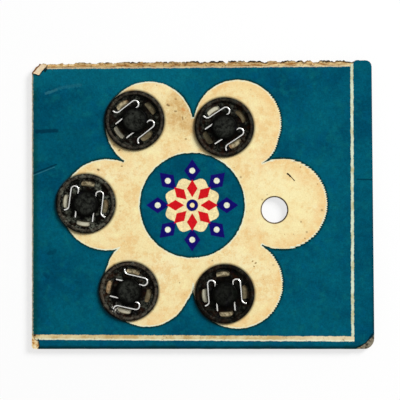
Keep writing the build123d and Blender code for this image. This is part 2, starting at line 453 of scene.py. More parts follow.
def printed_face(card, snap, snaps):
    """Return the finish of the printed face: blue field, cream flower, rosette and frame lines, all aged, with grime
    and painted shade under and round the snaps, and painted shade at the punched edges and along the right and lower
    edges.
    """
    material, pen, shader = new_material("printed_face", Specular_IOR_Level=0.01)
    place = pen.millimetres()
    point = pen.stretch(place, FLAT)
    axes = pen.node("SeparateXYZ", {0: point})
    fibre = pen.fibre(place, 1.5)
    cloud = pen.grain(point, 0.1, 4.0, 0.6)
    patch = pen.grain(point, 0.45, 4.0, 0.6, seed=3.0)
    blotch = pen.grain(point, 0.32, 5.0, 0.65, seed=7.0)
    fine = pen.grain(point, 3.2, 3.0, 0.6)
    speck = pen.grain(point, 1.5, 3.0, 0.7, seed=5.0)
    mottle = pen.grain(point, 0.5, 5.0, 0.75, seed=11.0)

    # Edges of the print wander a little, and are combed along the right of the petals
    fuzz = pen.plus(pen.sway(pen.grain(point, 0.8, 2.0), 0.35), pen.sway(fine, 0.25))
    comb = pen.times(pen.math("SINE", pen.times(axes[1], 13.0)), 0.11)
    comb = pen.times(comb, pen.step(axes[0], 13.0, 15.5))
    flower = pen.plus(pen.plus(flower_distance(pen, point), fuzz), comb)
    disc = pen.plus(pen.outside(point, FLOWER_MIDDLE, DISC_RADIUS), fuzz)
    in_flower = pen.times(pen.step(flower, 0.06, -0.06), pen.step(disc, -0.06, 0.06))

    # Blue field, heavier in patches and along the edges of the print
    near_edge = pen.math("MINIMUM", pen.math("ABSOLUTE", flower), pen.math("ABSOLUTE", disc))
    margin = pen.larger(pen.step(axes[0], 32.4, 32.8), pen.step(axes[1], -28.9, -29.2))
    blue = pen.tint(
        card.blue,
        (card.deep_blue, cloud, 0.4, 0.66, 1.0),
        (ink(10, 100, 108), patch, 0.48, 0.7, 0.55),
        (ink(0, 82, 116), blotch, 0.5, 0.7, 0.5),
        (ink(4, 48, 44), near_edge, 0.65, 0.1, 0.95),
    )
    blue = pen.over(pen.times(margin, 0.15), blue, card.deep_blue)
    blue = pen.tint(blue, (ink(5, 66, 60), axes[0], -34.9, -36.1, 0.75))
    washes = (((-36, 28), (30, 0), 5.0, ink(8, 106, 124)), ((-35, 18), (7, -5), 6.0, card.deep_blue))
    for start, run, width, tone in washes:
        blue = pen.over(pen.times(pen.stroke(point, start, run, width), 0.45), blue, tone)
    shown = rosette(pen, point, card, blue)
    shown = pen.scale(shown, pen.step(fine, 0.28, 0.72, 0.84, 1.12))
    shown = pen.scale(shown, pen.step(speck, 0.28, 0.72, 0.82, 1.14))

    # Cream flower, stained towards its edge and paler where the tint stops short
    rim_stain = pen.times(pen.step(flower, -3.2, -0.2), pen.step(patch, 0.3, 0.6))
    rim_stain = pen.times(rim_stain, pen.step(axes[0], -8.0, 18.0, 0.45, 1.0))
    cream = pen.tint(
        card.cream,
        (ink(250, 238, 190), cloud, 0.55, 0.35, 0.7),
        (ink(245, 210, 152), blotch, 0.46, 0.66, 0.6),
        (ink(236, 196, 130), mottle, 0.47, 0.62, 0.7),
        (ink(254, 244, 182), mottle, 0.45, 0.34, 0.75),
    )
    cream = pen.over(pen.times(rim_stain, 0.7), cream, card.amber)
    fresh = pen.outside(point, (16.5, 0.0), 5.5)
    cream = pen.tint(cream, (ink(251, 238, 180), fresh, 3.0, -2.0, 0.5))
    stain = pen.plus(pen.outside(point, (-4.6, 19.6), 5.0), pen.times(patch, 3.0))
    stain = pen.times(pen.step(stain, 3.0, -1.5), pen.step(mottle, 0.35, 0.6, 0.25, 0.7))
    cream = pen.over(stain, cream, ink(198, 154, 88))
    cream = pen.tint(
        cream, (ink(216, 176, 116), speck, 0.58, 0.74, 0.55), (ink(253, 242, 204), speck, 0.4, 0.26, 0.6)
    )
    cream = pen.over(pen.times(fibre["Fleck"], 0.75), cream, ink(132, 98, 54))
    short = pen.larger(pen.step(flower, -0.38, -0.14), pen.step(disc, 0.38, 0.14))
    cream = pen.over(pen.times(short, pen.step(patch, 0.36, 0.6, 0.35, 1.0)), cream, card.pale)
    cream = pen.scale(cream, pen.step(fine, 0.28, 0.72, 0.93, 1.05))
    shown = pen.over(in_flower, shown, cream)

    # Frame lines along the right and lower edges, and the stained band at the tear
    aside = pen.minus(pen.plus(pen.times(axes[1], 0.0035), pen.plus(axes[0], fuzz)), 32.02)
    right_line = pen.step(pen.math("ABSOLUTE", aside), 0.36, 0.24)
    right_line = pen.times(right_line, pen.step(axes[1], -29.2, -29.1))
    low = pen.plus(axes[1], fuzz)
    below = pen.plus(pen.plus(low, 28.62), pen.times(axes[0], 0.0057))
    low_line = pen.step(pen.math("ABSOLUTE", below), 0.6, 0.48)
    low_line = pen.times(low_line, pen.step(axes[0], 32.5, 32.4))
    upright = pen.tint(ink(212, 226, 200), (ink(190, 186, 140), patch, 0.4, 0.65, 1.0))
    level = pen.tint(
        ink(222, 208, 160),
        (ink(196, 168, 112), patch, 0.35, 0.6, 1.0),
        (ink(240, 228, 194), axes[0], 12.0, 28.0, 0.6),
        (card.pale, below, -0.1, -0.4, 0.8),
        (card.brown, speck, 0.55, 0.75, 0.7),
    )
    shown = pen.over(right_line, shown, upright)
    shown = pen.over(low_line, shown, level)
    rise = pen.minus(low, pen.times(pen.minus(axes[0], 32.0), 0.0077))
    band = pen.times(pen.step(rise, 29.5, 29.62), pen.step(aside, -0.15, -0.25))
    streak = pen.grain(pen.stretch(point, (0.4, 2.2, 1.0)), 1.0, 4.0, 0.65, seed=8.0)
    tan = pen.tint(
        ink(204, 172, 116),
        (ink(230, 204, 148), axes[0], 4.0, 16.0, 1.0),
        (ink(160, 110, 54), streak, 0.42, 0.6, 1.0),
        (ink(100, 64, 30), speck, 0.52, 0.64, 0.85),
        (card.pale, rise, 29.95, 29.65, 0.4),
    )
    shown = pen.over(band, shown, tan)

    # Creases and scratches dent the paper, spots and dark lines only colour it
    marks = None
    for start, run, width, tone, strength in CREASES:
        mask = pen.stroke(point, start, run, width)
        shown = pen.over(pen.times(mask, strength), shown, tone)
        marks = pen.larger(marks, mask)
    for start, run, width, tone, strength in SPOTS:
        shown = pen.over(pen.times(pen.stroke(point, start, run, width), strength), shown, tone)

    # Grime and painted shade on the paper under the snaps, a ring of painted shade round each snap, and painted shade
    # on the punched edges
    under = window = None
    for middle in snaps:
        under = pen.larger(under, pen.step(pen.outside(point, middle, snap.radius), 0.55, -0.1))
        off_ring = pen.math("ABSOLUTE", pen.outside(point, middle, WINDOW_RING))
        window = pen.larger(window, pen.step(off_ring, 0.52, 0.24))
    grime_and_shade = pen.tint(
        ink(178, 166, 136), (ink(48, 43, 33), speck, 0.35, 0.62, 1.0), (ink(170, 126, 90), blotch, 0.54, 0.62, 0.5)
    )
    for (x, y), (name, turn) in zip(snaps, SNAP_TURNS.items()):
        for hole in DARK_HOLES[name] + PALE_HOLES[name]:
            way = radians(turn + hole)
            inside = pen.outside(point, (x + SEWING_RING * cos(way), y + SEWING_RING * sin(way)), 1.9)
            tone = ink(36, 34, 26) if hole in DARK_HOLES[name] else ink(214, 214, 194)
            grime_and_shade = pen.tint(grime_and_shade, (tone, inside, 0.4, -0.4, 0.75))
    # Painted shade: away from the middle of each sewing hole the paper turns near black, as shade under the sheet metal
    grime_and_shade = pen.over(window, ink(34, 30, 23), grime_and_shade)
    # The grime and painted shade lie under each snap and reach 0.55 mm beyond its rim, where they show as a ring of
    # painted contact shade
    shown = pen.over(pen.times(under, 0.9), shown, grime_and_shade)
    # Painted shade: a dark ring on the print round the edge of each punched hole
    for middle in punch_centres(card):
        punch_edge_shade = pen.outside(point, middle, card.punch_radius)
        shown = pen.tint(shown, (ink(70, 52, 32), punch_edge_shade, 0.16, 0.0, 0.9))

    # Painted shade darkens the right and lower edges, and the rubbed left edge shows pale paper
    uneven = pen.times(patch, 0.8)
    shown = pen.tint(
        shown,
        (ink(0, 40, 50), pen.plus(axes[0], uneven), 36.3, 37.1, 0.7),
        (ink(4, 38, 40), pen.minus(axes[1], uneven), -30.4, -31.1, 0.9),
        (ink(216, 214, 186), pen.plus(axes[0], pen.times(fine, 0.9)), -35.8, -36.2, 0.8),
    )
    height = pen.minus(fibre["Fibre"], pen.times(marks, 0.8))
    pen.finish(shader, shown, fibre["Dullness"], height, 0.35, 0.06)
    return material


def board_core(card):
    """Return the finish of torn and rubbed board: pale pulp with brown fibres and grime, and painted shade in the
    punched holes and along the right and lower edges.
    """
    material, pen, shader = new_material("board_core", Specular_IOR_Level=0.05)
    place = pen.millimetres()
    axes = pen.node("SeparateXYZ", {0: place})
    fibre = pen.fibre(place, 2.4)
    patch = pen.grain(place, 0.7, 4.0, 0.65)
    coarse = pen.grain(place, 1.8, 4.0, 0.65, seed=1.0)
    shown = pen.tint(
        card.core,
        (ink(214, 172, 108), patch, 0.35, 0.65, 1.0),
        (ink(246, 236, 214), coarse, 0.42, 0.3, 0.7),
        (card.brown, coarse, 0.54, 0.68, 0.8),
    )
    # Painted shade: the walls of the punched holes are darkened to brown
    for middle in punch_centres(card):
        cut = pen.outside(pen.stretch(place, FLAT), middle, card.punch_radius)
        shown = pen.tint(shown, (ink(66, 48, 30), cut, 0.3, 0.1, 0.9))
    tear = pen.step(pen.plus(axes[1], patch), 30.2, 31.2)
    soot = pen.grain(pen.stretch(place, (0.5, 2.0, 1.0)), 1.0, 4.0, 0.65, seed=2.0)
    shown = pen.over(pen.times(tear, 0.4), shown, card.brown)
    shown = pen.over(pen.times(tear, pen.step(soot, 0.42, 0.52)), shown, ink(32, 22, 12))
    chip = pen.outside(place, (-35.1, 28.5, 1.3), 1.9)
    shown = pen.tint(
        shown, (ink(238, 234, 212), axes[0], -36.2, -36.5, 0.8), (ink(240, 222, 194), chip, 0.4, -0.4, 0.65)
    )
    chip_line = pen.stroke(place, (-34.9, 30.1, 1.25), (-2.0, -2.3), 0.3)
    shown = pen.over(chip_line, shown, ink(122, 78, 40))

    # Speckled scuff at the lower left corner
    scuff = pen.times(pen.step(axes[0], -34.4, -34.8), pen.step(axes[1], -27.4, -27.9))
    spots = pen.grain(place, 1.3, 2.0, 0.6, seed=5.0)
    flecked = pen.tint(
        ink(230, 202, 148),
        (ink(188, 134, 72), spots, 0.5, 0.56, 1.0),
        (ink(60, 44, 26), spots, 0.6, 0.66, 1.0),
        (ink(250, 238, 204), spots, 0.42, 0.36, 0.9),
    )
    shown = pen.over(scuff, shown, flecked)

    # Grey wear at the lower right corner, and painted shade along the right and lower edges
    corner = pen.times(pen.step(axes[0], 33.0, 34.2), pen.step(axes[1], -27.0, -28.2))
    grey = pen.tint(ink(132, 126, 110), (ink(46, 46, 40), coarse, 0.4, 0.62, 1.0))
    shown = pen.over(pen.times(corner, 0.95), shown, grey)
    edge_shade = pen.larger(pen.step(axes[0], 35.4, 35.9), pen.step(axes[1], -30.6, -30.9))
    edge_shade = pen.times(edge_shade, pen.minus(1.0, corner))
    edge_shade = pen.times(edge_shade, pen.step(axes[0], -34.6, -33.6))
    shown = pen.over(pen.times(edge_shade, 0.9), shown, ink(22, 48, 50))
    pen.finish(shader, shown, fibre["Dullness"], fibre["Fibre"], 0.9, 0.12)
    return material


def board_back(card):
    """Return the finish of the unprinted back: plain grey-brown board with flecks."""
    material, pen, shader = new_material("board_back", Specular_IOR_Level=0.1)
    place = pen.millimetres()
    fibre = pen.fibre(place, 1.1)
    cloud = pen.grain(place, 0.1, 4.0, 0.6)
    shown = pen.tint(
        card.back, (ink(160, 142, 112), cloud, 0.35, 0.7, 1.0), (ink(128, 112, 86), fibre["Fibre"], 0.5, 0.7, 0.4)
    )
    shown = pen.over(pen.times(fibre["Fleck"], 0.6), shown, ink(92, 74, 48))
    pen.finish(shader, shown, fibre["Dullness"], fibre["Fibre"], 0.5, 0.08)
    return material


def enamelled_sheet(snap):
    """Return the finish of the stamped metal: black enamel, dulled where it is rubbed, with films of grime and rust,
    and a painted sheen, highlight and glints where it is rubbed and scraped.
    """
    material, pen, shader = new_material("enamelled_sheet", Specular_IOR_Level=0.02)
    place = pen.millimetres()
    rubbed, rusty, bloomed = (pen.node("Attribute", attribute_name=name)["Fac"] for name in WEAR_LAYERS)
    patch = pen.grain(place, 0.55, 4.0, 0.65)
    other = pen.grain(place, 0.7, 4.0, 0.65, seed=4.0)
    third = pen.grain(place, 0.8, 4.0, 0.65, seed=9.0)
    fine = pen.grain(place, 4.5, 4.0, 0.6)
    film = pen.times(rusty, pen.step(patch, 0.45, 0.65))
    shown = pen.over(film, snap.enamel, snap.rust)
    shown = pen.tint(shown, (ink(12, 9, 18), other, 0.55, 0.7, 0.7), (ink(9, 15, 8), other, 0.44, 0.32, 0.6))
    bloom = pen.times(bloomed, pen.step(third, 0.44, 0.64))
    bloom = pen.times(bloom, pen.step(pen.grain(place, 2.2, 3.0, seed=6.0), 0.36, 0.64))
    shown = pen.over(bloom, shown, ink(88, 91, 80))
    # Rubbed patches with strong contrast, which also stand as painted glints on the dome and rim
    worn = pen.times(rubbed, pen.step(pen.grain(place, 1.4, 4.0, 0.65), 0.34, 0.66, 0.04, 1.0))
    height = pen.node("SeparateXYZ", {0: place})[2]
    # Painted highlight: the rim's crest, below 2.2 mm, takes a paler tone than the rubbed dome top
    rubbed_tone_and_highlight = pen.tint(snap.rubbed, (ink(88, 81, 70), height, 2.4, 2.2, 1.0))
    shown = pen.over(worn, shown, rubbed_tone_and_highlight)
    # Painted glints: a scraped patch of bare metal on the lower left snap, in a bright flat tone
    scrape_and_glint = pen.step(pen.outside(pen.stretch(place, FLAT), (-18.5, -22.1), 1.2), 0.2, -0.5)
    scrape_and_glint = pen.times(scrape_and_glint, pen.step(pen.grain(place, 2.2, 3.0, seed=12.0), 0.52, 0.6))
    shown = pen.over(scrape_and_glint, shown, ink(210, 206, 194))
    dull = pen.plus(pen.step(fine, 0.3, 0.7, 0.3, 0.5), pen.times(rubbed, 0.3))
    dull = pen.plus(dull, pen.times(film, 0.2))
    pen.finish(shader, shown, dull, pen.plus(fine, pen.times(patch, 0.6)), 0.4, 0.05)
    return material


def bright_wire(snap):
    """Return the finish of the spring wire: drawn steel with some tarnish."""
    material, pen, shader = new_material("bright_wire", Metallic=1.0)
    place = pen.millimetres()
    tarnish = pen.grain(place, 1.3, 4.0, 0.65)
    drawn = pen.grain(place, 7.0, 3.0, 0.6)
    shown = pen.tint(snap.wire, (ink(134, 118, 98), tarnish, 0.5, 0.75, 0.6))
    pen.finish(shader, shown, pen.step(drawn, 0.3, 0.7, 0.2, 0.38), drawn, 0.15, 0.02)
    return material


def finish_piece(bm, name, materials, node, place=None):
    """Bring a mesh to its place in metres, as a piece that stands for a CAD node."""
    if place is not None:
        bmesh.ops.transform(bm, matrix=place, verts=bm.verts)
    bmesh.ops.scale(bm, vec=(METRES, METRES, METRES), verts=bm.verts)
    mesh = bpy.data.meshes.new(name)
    bm.to_mesh(mesh)
    bm.free()
    for material in materials:
        mesh.materials.append(material)
    mesh.set_sharp_from_angle(angle=radians(38))
    piece = bpy.data.objects.new(name, mesh)
    bpy.context.collection.objects.link(piece)
    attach(piece, "root")
    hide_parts(node)
    return piece


def ragged(*where):
    """Return a steady noise between -1 and 1 at a place."""
    return noise.noise(Vector(where))


def clamped(value, low=0.0):
    """Return a value held between a low limit and 1."""
    return max(low, min(1.0, value))


def rounded(bm, geom, offset, segments, affect):
    """Round off corners or edges."""
    bmesh.ops.bevel(
        bm, geom=geom, offset=offset, offset_type="OFFSET", segments=segments, profile=0.5, affect=affect, material=-1
    )


def round_corner(bm, x, y, offset, segments):
    """Round or cut the outline's corner nearest to a point."""
    corner = min(bm.verts, key=lambda v: hypot(v.co.x - x, v.co.y - y))
    rounded(bm, [corner], offset, segments, "VERTICES")


def side_edges(bm, start, end):
    """Return the outline's edges that lie along a straight side."""
    run = Vector(end) - Vector(start)

    def on_side(vert):
        away = vert.co.xy - Vector(start)
        share = away.dot(run) / run.length_squared
        return -0.01 < share < 1.01 and abs(away.cross(run)) / run.length < 0.01

    return [e for e in bm.edges if all(on_side(v) for v in e.verts)]


def roughen_sides(bm, sides):
    """Divide the outline's sides and move each point on them by what the side's move gives."""
    for start, end, cuts, _ in sides:
        edges = side_edges(bm, start, end)
        bmesh.ops.subdivide_edges(bm, edges=edges, cuts=cuts)
    moves = {}
    for start, end, _, move in sides:
        whole = (Vector(end) - Vector(start)).length
        for vert in {v for e in side_edges(bm, start, end) for v in e.verts}:
            moves[vert] = move(vert.co.x, vert.co.y, (vert.co.xy - Vector(start)).length / whole)
    for vert, vector in moves.items():
        vert.co.xy += Vector(vector)


def punch_and_fill(bm, centres, radius, height):
    """Fill the outline with a sheet that is punched through at the centres."""
    bmesh.ops.delete(bm, geom=bm.faces[:], context="FACES_ONLY")
    for x, y in centres:
        bmesh.ops.create_circle(
            bm, cap_ends=False, segments=72, radius=radius, matrix=Matrix.Translation((x, y, height))
        )
    bmesh.ops.triangle_fill(bm, use_beauty=True, use_dissolve=True, edges=bm.edges[:], normal=(0, 0, 1))


def thicken(bm, steps):
    """Raise a flat sheet into a slab, one layer for each step."""
    faces = bm.faces[:]
    for layer, rise in enumerate(steps):
        grown = bmesh.ops.extrude_face_region(bm, geom=faces)["geom"]
        if layer:
            bmesh.ops.delete(bm, geom=faces, context="FACES")
        verts = [item for item in grown if isinstance(item, bmesh.types.BMVert)]
        faces = [item for item in grown if isinstance(item, bmesh.types.BMFace)]
        bmesh.ops.translate(bm, verts=verts, vec=(0, 0, rise))
    bmesh.ops.recalc_face_normals(bm, faces=bm.faces)


def punch_centres(card):
    """Return the middles of the six punched holes."""
    x, y = RING_MIDDLE
    ways = [radians(60 * place + RING_TURN) for place in range(6)]
    return [(x + card.ring_radius * cos(way), y + card.ring_radius * sin(way)) for way in ways]


def torn_rise(card, x, run):
    """Return how far the tear bulges out or bites in at a place along the top edge."""
    coarse = max(0.0, ragged(x * 0.3, 3.1, 0.0))
    medium = max(0.0, ragged(x * 0.9, 7.7, 0.0))
    fine = max(0.0, ragged(x * 3.2, 1.3, 0.0))
    rough = clamped(TEAR_FADE - x, 0.2)
    bite = card.tear_depth * rough * (0.8 * coarse + 1.6 * medium + 0.9 * fine)
    return card.top_fall * run * (1 - run) - bite


def board_mesh(card):
    """Return the board's mesh: torn at the top, chipped at one corner and punched."""
    left, bottom, back = CARD_LOW
    right, top, face = CARD_HIGH
    thickness = face - back - card.face_thickness
    top_right = (right - card.right_lean, top)
    top_left = (left + card.chip_width, top - card.top_fall)
    chip_foot = (left, top - card.top_fall - card.chip_height)
    bm = bmesh.new()
    outline = [(left, bottom), (right, bottom), top_right, top_left, chip_foot]
    bm.faces.new([bm.verts.new((x, y, back)) for x, y in outline])

    def torn(x, y, run):
        return 0, torn_rise(card, x, run)

    def chipped(x, y, run):
        return 0.18 * ragged(x * 2, y * 2, 5), 0.18 * ragged(x * 2, y * 2, 9)

    def worn_left(x, y, run):
        return 0.05 + 0.09 * ragged(0, y * 0.9, 2) + 0.06 * ragged(0, y * 4, 4), 0

    def worn_low(x, y, run):
        return 0, 0.05 + 0.05 * ragged(x * 0.3, 0, 6)

    sides = [
        (top_right, top_left, 300, torn),
        (top_left, chip_foot, 12, chipped),
        (chip_foot, (left, bottom), 160, worn_left),
        ((left, bottom), (right, bottom), 90, worn_low),
    ]
    round_corner(bm, left, bottom, card.left_corner, 4)
    round_corner(bm, right, bottom, card.board_corner, 6)
    round_corner(bm, *top_right, card.top_corner, 4)
    roughen_sides(bm, sides)
    punch_and_fill(bm, punch_centres(card), card.punch_radius, back)
    layers = 5
    thicken(bm, [thickness / layers] * layers)
    edge = top - card.top_fall - card.tear_depth * 2.2
    for vert in bm.verts:
        level = round((vert.co.z - back) / thickness * layers)
        if vert.co.y > edge and vert.co.x < right - 1.2:
            vert.co.y -= 0.08 * max(0.0, 0.4 + ragged(vert.co.x * 2.2, level * 4.3, 8.0))
        elif vert.co.x < left + 0.3:
            vert.co.x += 0.05 * (1 + ragged(vert.co.y * 2.2, level * 4.3, 8.0))
        for x, y in punch_centres(card):
            away = vert.co.xy - Vector((x, y))
            if away.length < card.punch_radius + 0.01:
                fray = 0.04 * ragged(vert.co.x * 2.0, vert.co.y * 2.0, level * 3.7)
                vert.co.xy -= away.normalized() * (card.punch_taper * (1 - level / layers) + fray + 0.04)
    return bm


def face_paper_mesh(card):
    """Return the printed paper's mesh: torn back at the top and rubbed off at three corners."""
    left, bottom, _ = CARD_LOW
    right, top, face = CARD_HIGH
    tuck = 0.02
    base = face - card.face_thickness - tuck
    rubbed = left + card.left_wear
    drop = card.top_fall + card.face_tear_back * 0.7
    top_right = (right - card.right_lean, top - 0.04)
    top_left = (left + card.chip_width + card.chip_scuff, top - drop)
    chip_foot = (rubbed, top - card.top_fall - card.chip_height - card.chip_scuff * 0.03)
    chip_mid = (left + card.chip_width * 0.86, chip_foot[1] - card.chip_scuff * 0.24)
    scuff_top = (rubbed, bottom + card.scuff_height)
    scuff_side = (left + card.scuff_width * 0.55, bottom + card.scuff_height * 0.72)
    scuff_low = (left + card.scuff_width * 0.95, bottom + card.scuff_height * 0.5)
    scuff_foot = (left + card.scuff_width, bottom)
    bm = bmesh.new()
    corner_low = (right - card.face_corner, bottom)
    corner_mid = (right - card.face_corner * 0.41, bottom + card.face_corner * 0.34)
    corner_top = (right - 0.03, bottom + card.face_corner * 0.8)
    outline = [scuff_foot, corner_low, corner_mid, corner_top, top_right, top_left]
    outline += [chip_mid, chip_foot, scuff_top, scuff_side, scuff_low]
    bm.faces.new([bm.verts.new((x, y, base)) for x, y in outline])

    def torn(x, y, run):
        back = card.face_tear_back * (1.0 + 0.5 * ragged(x * 0.7, 0, 11) + 0.35 * ragged(x * 2.9, 0, 14))
        back *= clamped((32.6 - x) / 0.5) - 0.7 * run
        return 0, torn_rise(card, x, run) - back

    def chipped(x, y, run):
        return 0.16 * ragged(x * 1.8, y * 1.8, 15), 0.16 * ragged(x * 1.8, y * 1.8, 19)

    def worn_left(x, y, run):
        return 0.12 * ragged(0, y * 0.5, 12) + 0.12 * ragged(0, y * 2.6, 14), 0

    def worn_low(x, y, run):
        return 0, 0.05 + 0.05 * ragged(x * 0.4, 0, 16)

    sides = [
        (top_right, top_left, 300, torn),
        (top_left, chip_mid, 14, chipped),
        (chip_mid, chip_foot, 10, chipped),
        (chip_foot, scuff_top, 240, worn_left),
        (scuff_top, scuff_side, 10, chipped),
        (scuff_side, scuff_low, 10, chipped),
        (scuff_low, scuff_foot, 14, chipped),
        (scuff_foot, corner_low, 90, worn_low),
        (corner_low, corner_mid, 10, chipped),
        (corner_mid, corner_top, 10, chipped),
    ]
    round_corner(bm, *top_right, card.top_corner, 4)
    roughen_sides(bm, sides)
    punch_and_fill(bm, punch_centres(card), card.punch_radius, base)
    thicken(bm, [card.face_thickness + tuck])
    return bm


def ring_edges(bm, radius, height):
    """Return the turned mesh's edges that run round at a radius and height."""

    def on_ring(vert):
        return abs(hypot(vert.co.x, vert.co.y) - radius) < 1e-3 and abs(vert.co.z - height) < 1e-3

    return [e for e in bm.edges if all(on_ring(v) for v in e.verts)]


def turn_profile(profile):
    """Return a mesh turned from a profile of radii and heights."""
    bm = bmesh.new()
    verts = [bm.verts.new((radius, 0, height)) for radius, height in profile]
    edges = [bm.edges.new(pair) for pair in zip(verts, verts[1:])]
    bmesh.ops.spin(
        bm, geom=verts + edges, cent=(0, 0, 0), axis=(0, 0, 1), angle=2 * pi, steps=LATHE_STEPS, use_merge=True
    )
    bmesh.ops.remove_doubles(bm, verts=bm.verts, dist=1e-4)
    bmesh.ops.recalc_face_normals(bm, faces=bm.faces)
    return bm


def round_ring(bm, radius, height, offset, segments):
    """Round the turned mesh's edge at a radius and height."""
    rounded(bm, ring_edges(bm, radius, height), offset, segments, "EDGES")


def bearing(co, middle):
    """Return a point's angle from a bearing, in degrees, between -180 and 180."""
    turn = atan2(co.y, co.x) * 180 / pi - middle
    return (turn + 180) % 360 - 180


def open_through(bm, faces):
    """Open a hole through a wall, between the faces on its two sides."""
    rim = {e for f in faces for e in f.edges if not all(g in faces for g in e.link_faces)}
    bmesh.ops.delete(bm, geom=list(faces), context="FACES_ONLY")
    loose = [e for e in bm.edges if not e.link_faces and e not in rim]
    bmesh.ops.delete(bm, geom=loose, context="EDGES")
    return bmesh.ops.bridge_loops(bm, edges=list(rim))["faces"]


def cut_sewing_holes(bm, snap, low, high):
    """Cut four sewing holes, each straight on the inside and round on the outside."""
    half = SEWING_HALF_ANGLE

    def in_hole(face, middle):
        centre = face.calc_center_median()
        off = bearing(centre, middle)
        return (
            abs(off) < half and abs(face.normal.z) > 0.9 and low - 1e-3 < centre.z < high + 1e-3
            and snap.sewing_inner - 0.02 < centre.xy.length < snap.sewing_outer + 0.02
            and all(abs(bearing(v.co, middle)) < half + 0.1 for v in face.verts)
            and centre.xy.length * cos(radians(off)) > snap.sewing_inner
        )

    for middle in (0, 90, 180, 270):
        for vert in bm.verts:
            out = hypot(vert.co.x, vert.co.y)
            off = bearing(vert.co, middle)
            on_inner = abs(out - snap.sewing_inner) < 1e-3
            on_outer = abs(out - snap.sewing_outer) < 1e-3
            if abs(off) > half + 0.1 or not (on_inner or on_outer):
                continue
            inner = snap.sewing_inner / cos(radians(off))
            swell = (1 - min(1.0, abs(off) / (half + 0.4)) ** 3.2) ** 0.45
            reach = inner if on_inner else inner + (snap.sewing_outer - snap.sewing_inner) * swell
            vert.co.xy *= reach / out
        open_through(bm, {f for f in bm.faces if in_hole(f, middle)})


def cut_dome_slits(bm, snap):
    """Cut the four slits at the dome's foot that the spring legs pass through."""
    for middle in SLIT_BEARINGS:
        faces = {
            f for f in bm.faces
            if abs(bearing(f.calc_center_median(), middle)) < SLIT_HALF_ANGLE and abs(f.normal.z) < 0.1
            and snap.sheet < f.calc_center_median().z < snap.slit_top
            and f.calc_center_median().xy.length < snap.dome_radius + 0.01
        }
        open_through(bm, faces)


def mark_wear(bm, snap, shares, dome_top):
    """Store how much each point is rubbed by handling, with a painted sheen fading from the dome's top and a painted
    highlight along the rim's crest, and how rusty its snap is and how much grey bloom lies on it.
    """
    for name in WEAR_LAYERS:
        bm.verts.layers.float.new(name)
    rubbed, rust, bloom = (bm.verts.layers.float[name] for name in WEAR_LAYERS)
    rust_share, bloom_share, dome_share, rim_share = shares
    touch, dome_edge, dome_fade = 0.02, 2.45, 0.8
    for vert in bm.verts:
        out = hypot(vert.co.x, vert.co.y)
        on_dome = dome_top is not None and vert.co.z > dome_top - touch
        # Painted sheen fades from the dome's top towards its rounded edge, and a painted highlight runs along the rim's
        # crest
        crest = max(0.0, vert.co.z / snap.rim_height - 0.8) / 0.2 if out > snap.radius - snap.rim_width else 0.0
        crest *= clamped((snap.radius - out - 0.15) / 0.3)
        vert[rubbed] = dome_share * clamped((dome_edge - out) / dome_fade) if on_dome else rim_share * crest
        clear = clamped(out - snap.dome_radius)
        vert[rust] = rust_share * clear
        vert[bloom] = bloom_share * clear
    for face in bm.faces:
        face.smooth = True


def socket_mesh(snap, shares):
    """Return a socket's mesh: rolled rim, floor with sewing holes, and a closed dome with slits."""
    dome, crown, sheet, rim = snap.dome_radius, snap.dome_height, snap.sheet, snap.rim_height
    inner, outer = snap.sewing_inner, snap.sewing_outer
    rim_inner = snap.radius - snap.rim_width
    bore = dome - sheet
    roof = crown - sheet
    upper = [(0, crown), (dome * 0.6, crown), (dome * 0.75, crown), (dome, crown), (dome, snap.slit_top), (dome, sheet)]
    floor = [(inner, sheet), (outer, sheet), (rim_inner, sheet), (rim_inner, rim), (snap.radius, rim)]
    lower = [(snap.radius, 0), (outer, 0), (inner, 0), (bore, 0), (bore, sheet), (bore, snap.slit_top)]
    bm = turn_profile(upper + floor + lower + [(bore, roof), (0, roof)])
    cut_sewing_holes(bm, snap, 0, sheet)
    cut_dome_slits(bm, snap)
    round_ring(bm, dome, crown, snap.dome_round, 4)
    round_ring(bm, snap.radius, rim, snap.rim_width * 0.45, 6)
    round_ring(bm, rim_inner, rim, snap.rim_width * 0.4, 5)
    round_ring(bm, snap.radius, 0, 0.18, 3)
    mark_wear(bm, snap, shares, crown)
    return bm


def stud_mesh(snap, shares):
    """Return a stud's mesh: hemmed plate with sewing holes, and a hollow ball on a neck."""
    inner, outer, plate = snap.sewing_inner, snap.sewing_outer, snap.stud_plate
    card_thickness, floor, ball_height = 0.9, 0.12, 0.32
    sunk = floor - plate
    hem = snap.radius - snap.rim_width
    hollow = snap.neck_radius - snap.sheet
    neck = card_thickness + snap.sheet + snap.wire_diameter
    ball = neck + ball_height
    roof = ball - snap.sheet
    upper = [(0, ball), (snap.ball_radius, ball), (snap.neck_radius, neck), (snap.neck_radius, 0)]
    face = [(inner, 0), (outer, 0), (snap.radius, 0), (snap.radius, -plate), (hem, -plate)]
    back = [(hem, sunk), (outer, sunk), (inner, sunk), (hollow, sunk), (hollow, roof), (0, roof)]
    bm = turn_profile(upper + face + back)
    cut_sewing_holes(bm, snap, sunk, 0)
    round_ring(bm, snap.ball_radius, ball, 0.14, 3)
    round_ring(bm, snap.radius, -plate, 0.2, 4)
    round_ring(bm, hem, -plate, 0.06, 2)
    round_ring(bm, hollow, sunk, 0.14, 3)
    mark_wear(bm, snap, shares, None)
    return bm


